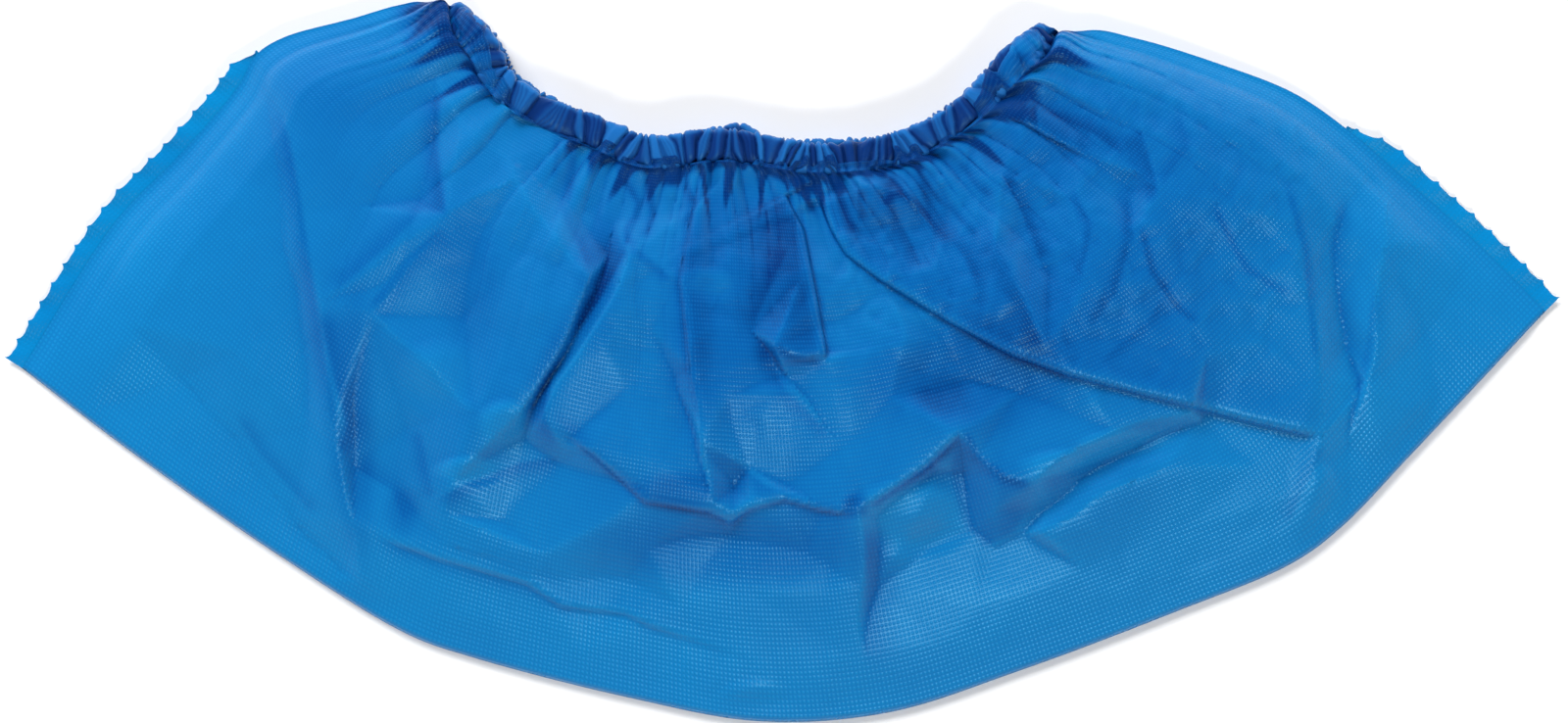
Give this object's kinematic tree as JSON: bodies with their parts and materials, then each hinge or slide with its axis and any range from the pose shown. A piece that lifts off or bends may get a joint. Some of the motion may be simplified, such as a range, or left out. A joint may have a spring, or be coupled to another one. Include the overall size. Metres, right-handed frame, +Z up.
{
  "type": "shoe cover",
  "caption": "Disposable blue embossed plastic-film shoe cover lying flat on its side: a folded bag with welded ends and torn flanges, open along a gathered elastic hem.",
  "frame": {"origin": "on the surface that the cover lies on, under the middle of its bounding box", "axes": "+X along the cover from its left end to its right end as pictured, +Y from the sole fold towards the mouth, +Z up, out of the surface that it lies on"},
  "size_m": [0.3546, 0.163, 0.0296],
  "materials": {
    "film": "embossed with a 1 mm grid, satin with small bright glints, slightly translucent",
    "hem": "several layers of the same film gathered by the elastic, so darker, with fine pleats",
    "flange": "two layers welded together, embossed, torn along a perforation"
  },
  "bodies": {
    "root": {"film_bag": "film", "elastic_hem": "hem", "left_end_flange": "flange", "right_end_flange": "flange"}
  },
  "joints": []
}
